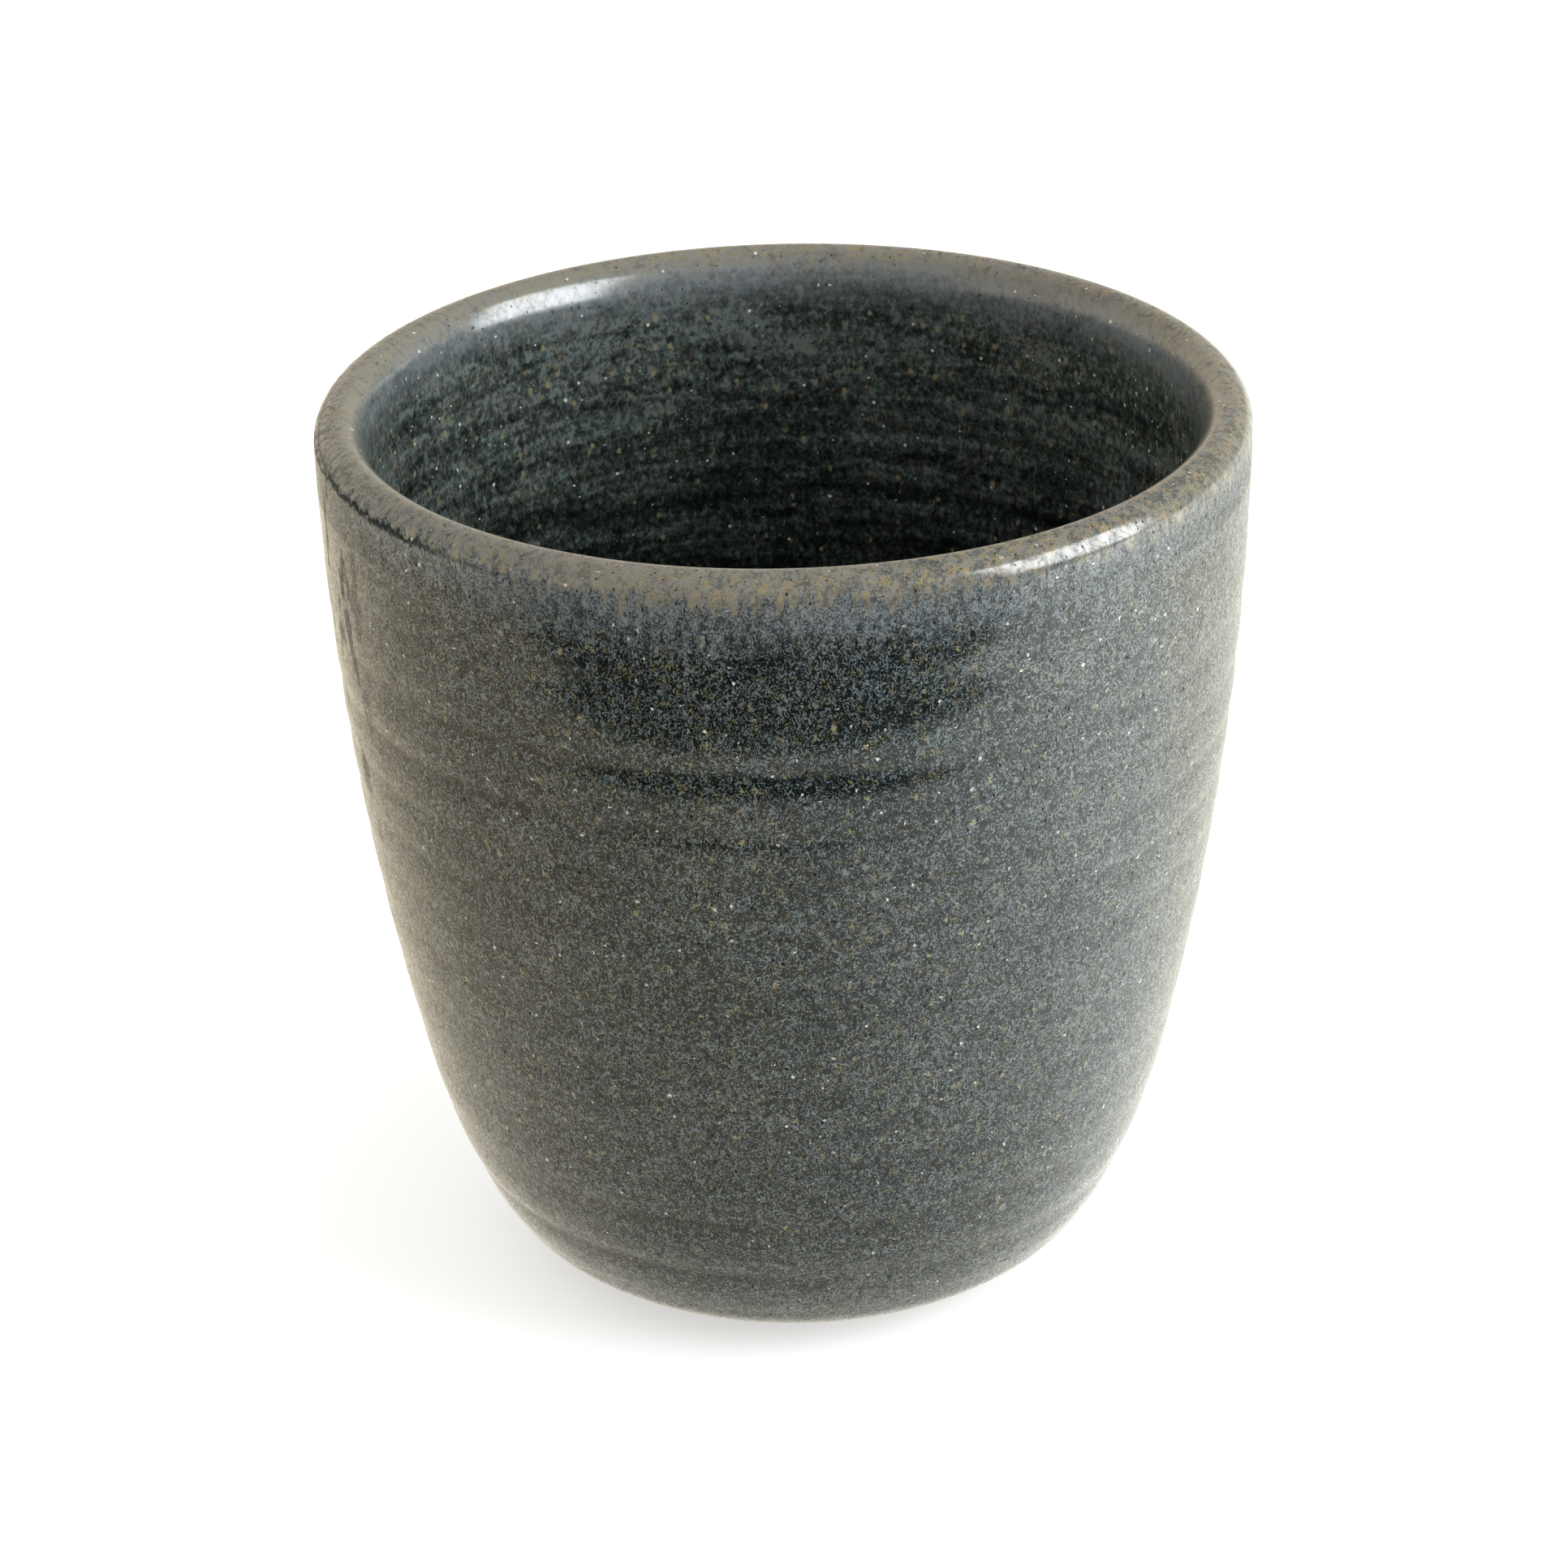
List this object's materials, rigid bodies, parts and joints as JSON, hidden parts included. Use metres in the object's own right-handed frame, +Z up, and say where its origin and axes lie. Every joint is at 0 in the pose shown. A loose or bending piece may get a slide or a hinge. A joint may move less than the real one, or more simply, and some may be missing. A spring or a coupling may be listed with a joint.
{
  "type": "yunomi tea cup",
  "caption": "Handleless wheel-thrown stoneware tea cup with upright sides, rounded heel, low foot ring, rounded brown lip and mottled grey-blue satin glaze.",
  "frame": {"origin": "on the table at the middle of the foot ring", "axes": "+Z up along the axis the cup was thrown about; X and Y across the mouth"},
  "size_m": [0.08, 0.08, 0.081],
  "materials": {
    "stoneware_clay": "matte",
    "grey_glaze": "satin",
    "lip_glaze": "satin",
    "liner_glaze": "satin"
  },
  "bodies": {
    "root": {"clay_body": "stoneware_clay", "outer_glaze": "grey_glaze", "lip_glaze": "lip_glaze", "liner_glaze": "liner_glaze"}
  },
  "joints": []
}
